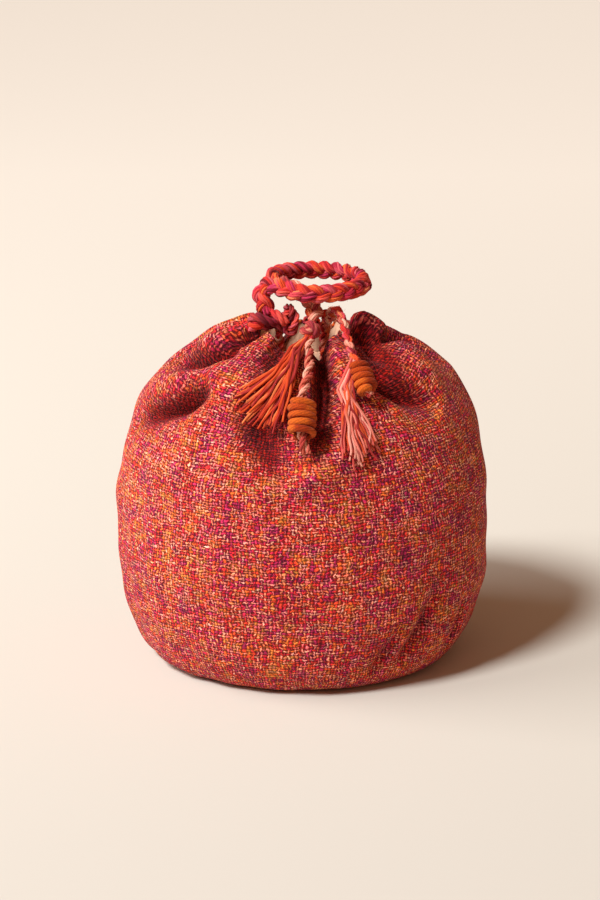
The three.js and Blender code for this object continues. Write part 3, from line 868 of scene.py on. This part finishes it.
def thread_corners(points, downs, row, column):
    """Threads run up and round the side, at the same spacing everywhere, and straight across the base."""
    columns = points.shape[1]
    angle = (column / columns - 0.5) * FULL_TURN
    down = downs[row, column % columns]
    middle = sector_middle(angle.mean(-1), down.mean(-1))[..., None]
    radius, height = profile_at(down)
    radius = np.where(height > BELLY_HEIGHT, radius, BELLY_WIDTH / 2)
    across = middle * BELLY_WIDTH / 2 + (angle - middle) * radius
    along = down - thread_excess(points, downs)[row, column % columns]
    side = np.stack([SIDE_COUNT + across / WARP_PITCH, SIDE_COUNT - along / WEFT_PITCH], -1)
    base = BASE_COUNT + points[row, column % columns][..., :2] / WARP_PITCH
    on_base = (down > SIDE_LENGTH + 1e-6).any(-1)[..., None, None]
    return np.where(on_base, base, side)


class Yarns:
    """Round yarns gathered into one mesh, with a colour at every point."""

    def __init__(self):
        self.points = []
        self.faces = []
        self.corners = []
        self.tints = []
        self.count = 0

    def add(self, path, radius, tints, sides=YARN_SIDES):
        reach = np.broadcast_to(radius, len(path))[:, None, None]
        self.points.append((path[:, None] + rings_along(path, sides) * reach).reshape(-1, 3))
        self.tints.append(np.repeat(np.broadcast_to(tints, (len(path), 3)), sides, axis=0))
        self.faces.extend(tube_faces(len(path), sides, self.count))
        row, column = ring_corners(len(path), sides)
        self.corners.append(np.stack([column / sides, lengths_along(path)[row] * 1000], -1).reshape(-1, 2))
        self.corners.append(np.zeros((2 * sides, 2)))
        self.count += len(path) * sides

    def finish(self, name, material, slot, replaced):
        piece = add_piece(name, np.concatenate(self.points), self.faces, material, slot, replaced)
        set_uv(piece, "yarn", np.concatenate(self.corners))
        tints = np.concatenate(self.tints)
        colours = np.concatenate([tints, np.ones((len(tints), 1))], axis=1)
        layer = piece.data.color_attributes.new("tint", "FLOAT_COLOR", "POINT")
        layer.data.foreach_set("color", colours.astype(np.float32).ravel())
        return piece


# Paths

def lengths_along(path):
    """Length along a path from its start to each of its points."""
    return np.concatenate([[0.0], np.cumsum(np.linalg.norm(np.diff(path, axis=0), axis=1))])


def even_path(points, step):
    """Points at an even step along a line of points."""
    length = lengths_along(points)
    places = np.linspace(0, length[-1], max(int(length[-1] / step), 4) + 1)
    return np.stack([np.interp(places, length, points[:, axis]) for axis in range(3)], -1)


def smooth_path(route, step=YARN_STEP):
    """Even points along the smooth curve through the points of a route."""
    route = np.array(route)
    padded = np.vstack([2 * route[0] - route[1], route, 2 * route[-1] - route[-2]])
    share = np.linspace(0, 1, 24, endpoint=False)[:, None]
    bends = []
    for before, start, end, after in zip(padded, padded[1:], padded[2:], padded[3:]):
        slope = (end - before) * share
        turn = (2 * before - 5 * start + 4 * end - after) * share ** 2
        ease = (3 * start - before - 3 * end + after) * share ** 3
        bends.append(start + (slope + turn + ease) / 2)
    return even_path(np.vstack([*bends, route[-1:]]), step)


def frames_along(path, first=None):
    """Unit vectors beside and above a path, carried along it without twisting."""
    along = unit(np.gradient(path, axis=0))
    beside = np.empty_like(path)
    if first is None:
        first = np.eye(3)[np.argmin(np.abs(along[0]))]
    carried = np.array(first, float)
    for index, direction in enumerate(along):
        carried = unit(carried - direction * carried.dot(direction))
        beside[index] = carried
    return beside, np.cross(along, beside)


def rings_along(path, sides):
    """Unit vectors from each point of a path to the corners of a tube round it."""
    beside, above = frames_along(path)
    turn = np.arange(sides) / sides * FULL_TURN
    return np.cos(turn)[None, :, None] * beside[:, None] + np.sin(turn)[None, :, None] * above[:, None]


def path_length(path):
    return float(np.linalg.norm(np.diff(path, axis=0), axis=1).sum())


def helix(path, reach, turn_length, start):
    """A line that winds round a path."""
    beside, above = frames_along(path)
    swing = np.linspace(0, path_length(path) / turn_length * FULL_TURN, len(path))
    phase = (swing + start)[:, None]
    return path + (np.cos(phase) * beside + np.sin(phase) * above) * reach


def twist(yarns, path, reach, radius, turn_length, palette):
    """Three yarns laid round a path."""
    for ply in range(3):
        line = helix(path, reach, turn_length, ply / 3 * FULL_TURN)
        yarns.add(line, radius, dyed(len(line), palette, TWIST_SPELL))


def rope(yarns, path, diameter, turn_length, palettes):
    """A cord of two plies, each of three yarns."""
    for ply, palette in enumerate(palettes):
        line = helix(path, diameter / 4, turn_length, ply * math.pi)
        twist(yarns, line, diameter * PLY_REACH, diameter * PLY_YARN_RADIUS, turn_length * PLY_TURN, palette)


def fuzz(yarns, path, diameter, count, palette):
    """Loose fibres that stand out from a cord."""
    beside, above = frames_along(path)
    share = np.linspace(0, 1, 6)[:, None]
    for _ in range(count):
        index = RANDOM.integers(1, len(path) - 1)
        angle = RANDOM.random() * FULL_TURN
        outward = math.cos(angle) * beside[index] + math.sin(angle) * above[index]
        start = path[index] + outward * diameter * 0.4
        bend = RANDOM.normal(0, FIBRE_LENGTH / 3, 3)
        reach = outward * RANDOM.uniform(0.3, 1.0) * FIBRE_LENGTH
        hair = start + reach * np.sin(share * 2.2) + bend * share * share * 0.8
        yarns.add(hair, FIBRE_RADIUS, palette[RANDOM.integers(len(palette))], sides=3)


def braid_lines(path, width, lift, cycle):
    """The three strands of a plait along a path."""
    beside, above = frames_along(path, (0, 0, 1))
    swing = np.linspace(0, path_length(path) / cycle * FULL_TURN, len(path))
    width = np.broadcast_to(width, len(path))[:, None]
    for strand in range(3):
        phase = (swing + strand / 3 * FULL_TURN)[:, None]
        yield path + np.sin(phase) * width * beside + np.sin(2 * phase) * lift * above


def plait(yarns, path, width, lift, cycle, reach, radius):
    """Three twisted strands, as the drawstring and the right tail have them."""
    for line, palette in zip(braid_lines(path, width, lift, cycle), PLAIT):
        twist(yarns, line, reach, radius, PLAIT_TURN, palette)


# Pouch, lining and drawstring

def shell_rows(side_rows, rim, thickness, inset, extra, hang):
    """Rows of a shell: from the middle of the base up over the rim, and down inside to the middle.

    Each row is (down, inset, slack). The hang is how far the inside drops from the rim.
    """
    base = np.linspace(CLOTH_LENGTH - BASE_HOLE, SIDE_LENGTH + BASE_EDGE, BASE_ROWS)
    side = SIDE_LENGTH - (SIDE_LENGTH - rim) * np.linspace(0, 1, side_rows)
    turn = np.linspace(0, math.pi, 6)[1:-1]
    edge = rim - thickness / 2 * np.sin(turn)
    bulge = inset + thickness / 2 * (1 - np.cos(turn))
    inside = rim + (SIDE_LENGTH - rim) * np.linspace(0, 1, INNER_ROWS) ** 1.4
    room = np.minimum(inside * 0.25, INNER_SLACK) + 1e-5
    drop = hang * np.clip((inside - rim) / HANG_EASE, 0, 1) * np.exp(-((inside / HANG_REACH) ** 2))
    outer = [(down, inset, extra * min(down / SLACK_EASE, 1)) for down in (*base, *side)]
    outer += [(down, depth, 0.0) for down, depth in zip(edge, bulge)]
    inner = [(down, inset + thickness + sag, slack + extra) for down, slack, sag in zip(inside, room, drop)]
    inner += [(down, inset + thickness, INNER_SLACK) for down in base[::-1]]
    return outer, inner


def add_pouch(material):
    rows = shell_rows(POUCH_ROWS, RIM_DOWN, CLOTH, inset=0.0, extra=0.0, hang=0.0)
    cloth_piece("pouch", *rows, POUCH_COLUMNS, 0.0, material, "woven_cloth", "outer_pouch")


def add_lining(material):
    """The lining's edge peeps above the woven rim at the front."""
    rows = shell_rows(LINING_ROWS, LINING_DOWN, LINING_CLOTH, CLOTH + LINING_GAP, LINING_SLACK, LINING_HANG)
    cloth_piece(
        "lining_bag", *rows, LINING_COLUMNS, LINING_PEEP, material, "lining_cotton", "lining")


def casing_route():
    """Middle of the drawstring's channel, which hangs below the bottoms of the gathers."""
    angles = np.linspace(0, FULL_TURN, 64)
    deepest = fold_depth(angles, np.full(64, CASING_DOWN)).max() + LINING_INSET
    degrees = np.arange(CASING_START, CASING_END - 360 - 1, -CASING_STEP)
    angle = np.radians(degrees)
    down = np.full(len(angle), CASING_DOWN)
    inward = envelope_normal(angle, down) * (deepest + LAYER_GAP + CASING_RADIUS)
    return envelope(angle, down) - inward


def add_casing(material):
    """A puckered cloth channel round the drawstring."""
    path = smooth_path(casing_route(), CASING_ROW)
    columns = CASING_COLUMNS
    rings = rings_along(path, columns)
    along = np.linspace(0, path_length(path), len(path)) / PUCKER_LENGTH * FULL_TURN
    turn = np.arange(columns) / columns * FULL_TURN
    pucker = 1 + PUCKER * np.sin(along)[:, None] * np.sin(turn * 2 + 1)[None]
    reach = CASING_RADIUS * pucker[..., None]
    outside = path[:, None] + rings * reach
    inside = path[:, None] + rings * (reach - LINING_CLOTH)
    points = np.concatenate([outside, inside[::-1]])
    row, column = ring_corners(len(points) + 1, columns)
    faces = (row % len(points) * columns + column % columns).reshape(-1, 4).tolist()
    piece = add_piece("casing_channel", points.reshape(-1, 3), faces, material, "lining_cotton", "casing")
    threads = [column / columns * CASING_THREADS, row * CASING_ROW / WEFT_PITCH]
    set_uv(piece, "threads", np.stack(threads, -1))
    path_length(path)


def add_drawstring(material):
    path = smooth_path(np.vstack([DRAWSTRING_START, casing_route(), DRAWSTRING_END]))
    yarns = Yarns()
    plait(yarns, path, width=0.0016, lift=0.0009, cycle=0.014, reach=0.0007, radius=0.0008)
    piece = yarns.finish("drawstring_cord", material, "braid_yarn", "drawstring")
    declare_cord(path, DRAWSTRING_DIAMETER)


def declare_cord(path, diameter):
    points = even_path(path, diameter / 2)
    path_length(path)


# Loop and its knots

def add_loop(material, with_pieces):
    path = smooth_path([LOOP_FOOT, *LOOP_ROUTE])
    yarns = Yarns()
    palettes = (BRAID_RED, BRAID_ROSE, BRAID_ORANGE)
    drops = (PALE_PINK, KNOT_PINK, BRAID_ORANGE)
    lines = braid_lines(path, width=0.0027, lift=0.0016, cycle=0.0205)
    for line, palette, drop_palette in zip(lines, palettes, drops):
        loop_strand(yarns, line, palette, drop_palette)
    fuzz(yarns, path, LOOP_DIAMETER, count=160, palette=np.vstack(palettes))
    piece = yarns.finish("loop_braid", material, "braid_yarn", "loop_cord")
    declare_cord(path, LOOP_DIAMETER)


def loop_strand(yarns, line, palette, drop_palette):
    """A bundle of yarns, which changes its colour where the loop drops to the centre knot."""
    drop = int(DROP_LENGTH / YARN_STEP)
    for ply in range(STRAND_YARNS):
        place = helix(line, reach=0.0016, turn_length=0.03, start=ply / STRAND_YARNS * FULL_TURN)
        tints = dyed(len(place), palette, spell=9)
        tints[-drop:] = dyed(drop, drop_palette, spell=12)
        swell = 1 + STRAND_SWELL * np.sin(np.arange(len(place)) * 0.37 + RANDOM.random() * 6)
        yarns.add(place, STRAND_YARN_RADIUS * swell, tints, sides=6)


def in_knot(places):
    """Places of the left knot, given along it, to its front and up, as points of the bag."""
    along = unit(np.array(LOOP_KNOT_AXIS, float))
    front = unit(np.cross(along, (0, 0, 1)))
    return LOOP_KNOT_CENTRE + np.array(places) @ np.stack([along, front, np.cross(front, along)])


def add_loop_knot(material):
    """Two twisted cords that cross the loop's foot, and a small eye at their right end."""
    turn = np.linspace(0, FULL_TURN, 60)[:, None]
    eye = KNOT_EYE_CENTRE + np.cos(turn) * np.array(KNOT_EYE_UP) + np.sin(turn) * np.array(KNOT_EYE_ACROSS)
    yarns = Yarns()
    cord = smooth_path(in_knot(KNOT_CORD))
    rope(yarns, cord, diameter=0.0098, turn_length=0.019, palettes=(BURGUNDY, BRAID_RED))
    under = smooth_path(in_knot(KNOT_UNDER))
    rope(yarns, under, diameter=0.008, turn_length=0.017, palettes=(BURGUNDY, BURGUNDY))
    ring = even_path(in_knot(eye), YARN_STEP)
    rope(yarns, ring, diameter=0.0058, turn_length=0.014, palettes=(BURGUNDY, BRAID_RED))
    return yarns.finish("loop_knot_cords", material, "braid_yarn", "loop_knot")


def knot_path(centre, axis, size):
    """An overhand knot drawn tight round an axis."""
    axis = unit(np.array(axis, float))
    beside = unit(np.cross(axis, (0, 0, 1)))
    above = np.cross(beside, axis)
    turn = np.linspace(0, FULL_TURN, 160)[:, None]
    reach = (2 + np.cos(3 * turn)) / 3
    around = (beside * np.cos(2 * turn) + above * np.sin(2 * turn)) * reach
    return even_path(np.array(centre) + (around + axis * np.sin(3 * turn) * 0.62) * size, YARN_STEP)


def add_centre_knot(material):
    start = np.array(LOOP_ROUTE[-1])
    end = np.array(LEFT_TAIL_ROUTE[0])
    middle = (start + end) / 2
    yarns = Yarns()
    path = knot_path(middle, end - start, size=0.0042)
    twist(yarns, path, reach=0.0008, radius=0.00105, turn_length=0.01, palette=KNOT_PINK)
    core = smooth_path([start, middle, end])
    twist(yarns, core, reach=0.0012, radius=0.0013, turn_length=0.014, palette=BRAID_ORANGE)
    return yarns.finish("centre_knot_cords", material, "braid_yarn", "centre_knot")


# Tails and wraps

def add_wrap(name, route, wrap, material, replaced):
    """Felted yarn wound round a tail, with its ends tucked in."""
    point, reach, turns = wrap
    axis = unit(np.subtract(route[point + 1], route[point - 1]))
    beside = unit(np.cross(axis, (1, 0, 0)))
    above = np.cross(axis, beside)
    share = np.linspace(0, 1, int(turns * 60))[:, None]
    angle = share * turns * FULL_TURN
    tuck = 1 - 0.5 * np.clip(1 - np.minimum(share, 1 - share) * turns * 6, 0, 1) ** 2
    loose = 1 + WRAP_SLACK * np.sin(share * 31) * np.sin(share * 9 + 1)
    line = route[point] + axis * ((share - 0.5) * turns * WRAP_RISE + WRAP_WOBBLE * np.sin(share * 23))
    line = line + (np.cos(angle) * above + np.sin(angle) * beside) * reach * tuck * loose
    path = even_path(line, YARN_STEP)
    yarns = Yarns()
    swell = 1 + WRAP_SWELL * np.sin(np.linspace(0, 40, len(path)))
    yarns.add(path, WRAP_YARN / 2 * swell, dyed(len(path), MUSTARD, spell=9), sides=14)
    fuzz(yarns, path, WRAP_YARN, count=60, palette=MUSTARD)
    return yarns.finish(name, material, "mustard_yarn", replaced)


def add_left_tail(material):
    path = smooth_path(LEFT_TAIL_ROUTE)
    yarns = Yarns()
    rope(yarns, path, LEFT_TAIL_DIAMETER, turn_length=0.017, palettes=(PALE_PINK, TWIST))
    fuzz(yarns, path, LEFT_TAIL_DIAMETER, count=60, palette=PALE_PINK)
    piece = yarns.finish("left_tail_cord", material, "pink_yarn", "left_tail")
    declare_cord(path, LEFT_TAIL_DIAMETER)


def add_right_tail(material):
    """A plait that narrows inside its wrap, with a small knot where it comes out of the mouth."""
    path = smooth_path(RIGHT_TAIL_ROUTE)
    yarns = Yarns()
    along = np.arange(len(path)) * YARN_STEP
    width = TAIL_WIDTH - TAIL_NARROWS * np.clip((along - NARROWS_AT) / NARROWS_OVER, 0, 1)
    plait(yarns, path, width, lift=0.001, cycle=0.015, reach=0.00074, radius=0.00082)
    knob = knot_path(RIGHT_TAIL_ROUTE[2], axis=(0.2, -0.2, 1), size=0.0031)
    knob_palette = np.vstack([BRAID_RED, PALE_PINK])
    twist(yarns, knob, reach=0.0007, radius=0.0009, turn_length=0.01, palette=knob_palette)
    fuzz(yarns, path, DRAWSTRING_DIAMETER, count=70, palette=np.vstack(PLAIT))
    piece = yarns.finish("right_tail_cord", material, "pink_yarn", "right_tail")
    declare_cord(path, DRAWSTRING_DIAMETER)


# Tassels

def front_point(across, down, lift):
    """A point above the front of the bag, where a yarn bridges the valleys and clears the puffs."""
    radius, _ = profile_at(down)
    angle = np.arcsin(across / radius)
    puff = np.maximum(-fold_depth(angle, down), 0)
    return envelope(angle, down) + envelope_normal(angle, down) * (lift + puff)[:, None]


def hem_point(hem, share):
    start, bend, end = (np.array(place) for place in hem)
    return start * (1 - share) ** 2 + bend * 2 * share * (1 - share) + end * share ** 2


def tassel_yarn(root, apex, hem):
    """One yarn from its root in a cord over the apex to the hem, with a little wander."""
    end = hem_point(hem, RANDOM.random())
    end = end + (end - apex) * RANDOM.normal(-0.04, 0.07)
    share = np.linspace(0, 1, 34)
    across = apex[0] + (end[0] - apex[0]) * share ** TASSEL_FLARE
    down = apex[1] + (end[1] - apex[1]) * share
    wander = RANDOM.normal(0, SLOW_WANDER) * np.sin(share * RANDOM.uniform(4, 11)) * share
    wander = wander + RANDOM.normal(0, QUICK_WANDER) * np.sin(share * RANDOM.uniform(14, 24))
    start = RANDOM.normal(0, APEX_SPREAD) * (1 - share) ** 2
    height = YARN_RADIUS + RANDOM.random() * TASSEL_THICKNESS * (1 - 0.55 * share)
    line = front_point(across + wander + start, down, height + TASSEL_CLEARANCE)
    return np.vstack([root + RANDOM.normal(0, ROOT_SPREAD, 3), line[ROOT_SKIP:]])


def add_tassel(name, tassel, palette, material, slot, replaced):
    root, apex, hem, count = tassel
    yarns = Yarns()
    for _ in range(count):
        path = even_path(tassel_yarn(np.array(root), np.array(apex), hem), YARN_STEP)
        taper = RANDOM.uniform(0.8, 1.25) * (1 - 0.35 * np.linspace(0, 1, len(path)) ** 3)
        yarns.add(path, YARN_RADIUS * taper, dyed(len(path), palette, spell=40))
    return yarns.finish(name, material, slot, replaced)


# Stage

def floor_material():
    graph = Graph("floor_paper")
    _, back, _ = graph.split(graph.add("TexCoord", {})["Object"])
    # Painted shade: the paper is darker towards the front and lighter towards the back
    tone = graph.ramp(graph.spread(back, -0.25, 1.2, 0.0, 1.0), FLOOR_TONES)
    return graph.finish(tone, PAPER_FINISH)


def add_floor():
    """A wide sheet of pale paper."""
    mesh = bpy.data.meshes.new("floor")
    corners = [(x * PAPER_REACH, y * PAPER_REACH, 0) for x, y in ((-1, -1), (1, -1), (1, 1), (-1, 1))]
    mesh.from_pydata(corners, [], [(0, 1, 2, 3)])
    mesh.materials.append(floor_material())
    floor = bpy.data.objects.new("floor", mesh)
    bpy.context.collection.objects.link(floor)
    floor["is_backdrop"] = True


def add_camera():
    """Looks at the photograph's middle, at its scale."""
    elevation = math.radians(CAMERA_ELEVATION)
    camera = bpy.data.cameras.new("camera")
    camera.sensor_fit = "VERTICAL"
    camera.sensor_height = 36
    camera.lens = camera.sensor_height * CAMERA_DISTANCE / (PHOTO_HEIGHT * PHOTO_SCALE)
    across = (PHOTO_WIDTH / 2 - BASE_PIXEL[0]) * PHOTO_SCALE
    up = (BASE_PIXEL[1] - PHOTO_HEIGHT / 2) * PHOTO_SCALE / math.cos(elevation)
    back = Vector((0, -math.cos(elevation), math.sin(elevation)))
    holder = bpy.data.objects.new("camera", camera)
    holder.location = Vector((across, 0, up)) + back * CAMERA_DISTANCE
    holder.rotation_euler = (math.pi / 2 - elevation, 0, 0)
    bpy.context.collection.objects.link(holder)
    bpy.context.scene.camera = holder


def add_light(name, kind, place, energy, colour, **settings):
    """A light that looks at the middle of the bag."""
    light = bpy.data.lights.new(name, kind)
    light.energy = energy
    light.color = colour
    for key, value in settings.items():
        setattr(light, key, value)
    holder = bpy.data.objects.new(name, light)
    holder.location = place
    aim = Vector((0, 0, 0.1)) - Vector(place)
    holder.rotation_euler = aim.to_track_quat("-Z", "Y").to_euler()
    bpy.context.collection.objects.link(holder)


def add_lights():
    add_light(
        "key", "SUN", place=(-0.87, -0.8, 1.46), energy=3.65, colour=(0.95, 0.975, 1.0),
        angle=math.radians(14))
    add_light("side", "AREA", place=(-1.25, -0.12, 0.95), energy=16.0, colour=(0.97, 0.98, 1.0), size=1.0)
    world = bpy.data.worlds.new("studio")
    world.use_nodes = True
    background = world.node_tree.nodes["Background"].inputs
    background["Color"].default_value = (1.0, 0.56, 0.34, 1.0)
    background["Strength"].default_value = 0.29
    bpy.context.scene.world = world
    bpy.context.scene.view_settings.view_transform = "Standard"


def add_bag():
    """All pieces of the bag. The order of the calls is the order of the random draws."""
    woven = weave_material()
    cotton = cotton_material()
    braid = yarn_material("braid_yarn", fibres=5, lean=0.22, ragged=0.5)
    pink = yarn_material("pink_yarn", fibres=5, lean=0.3, ragged=0.5)
    fringe_pink = yarn_material("fringe_yarn", fibres=3, lean=0.12, ragged=0.3, contrast=0.6)
    orange = yarn_material("orange_yarn", fibres=3, lean=0.12, ragged=0.3, contrast=0.6)
    mustard = yarn_material("mustard_yarn", fibres=7, lean=0.35, ragged=1.6, contrast=1.3)
    add_pouch(woven)
    add_lining(cotton)
    add_casing(cotton)
    add_drawstring(braid)
    fan = add_tassel("orange_fan", ORANGE_FAN, ORANGE, orange, "orange_yarn", "orange_tassel")
    add_loop(braid, [add_loop_knot(braid), add_centre_knot(braid), fan])
    left_wrap = add_wrap("left_yarn_wrap", LEFT_TAIL_ROUTE, LEFT_WRAP, mustard, "left_wrap")
    add_left_tail(pink)
    fringe = add_tassel("right_fringe", RIGHT_FRINGE, FRINGE, fringe_pink, "pink_yarn", "right_tassel")
    right_wrap = add_wrap("right_yarn_wrap", RIGHT_TAIL_ROUTE, RIGHT_WRAP, mustard, "right_wrap")
    add_right_tail(pink)


def write_sizes():
    boxes = {"cad": CAD_BOX, "visual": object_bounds()}
    {name: [list(corner) for corner in box] for name, box in boxes.items()}


add_camera()
add_bag()
add_floor()
add_lights()
write_sizes()
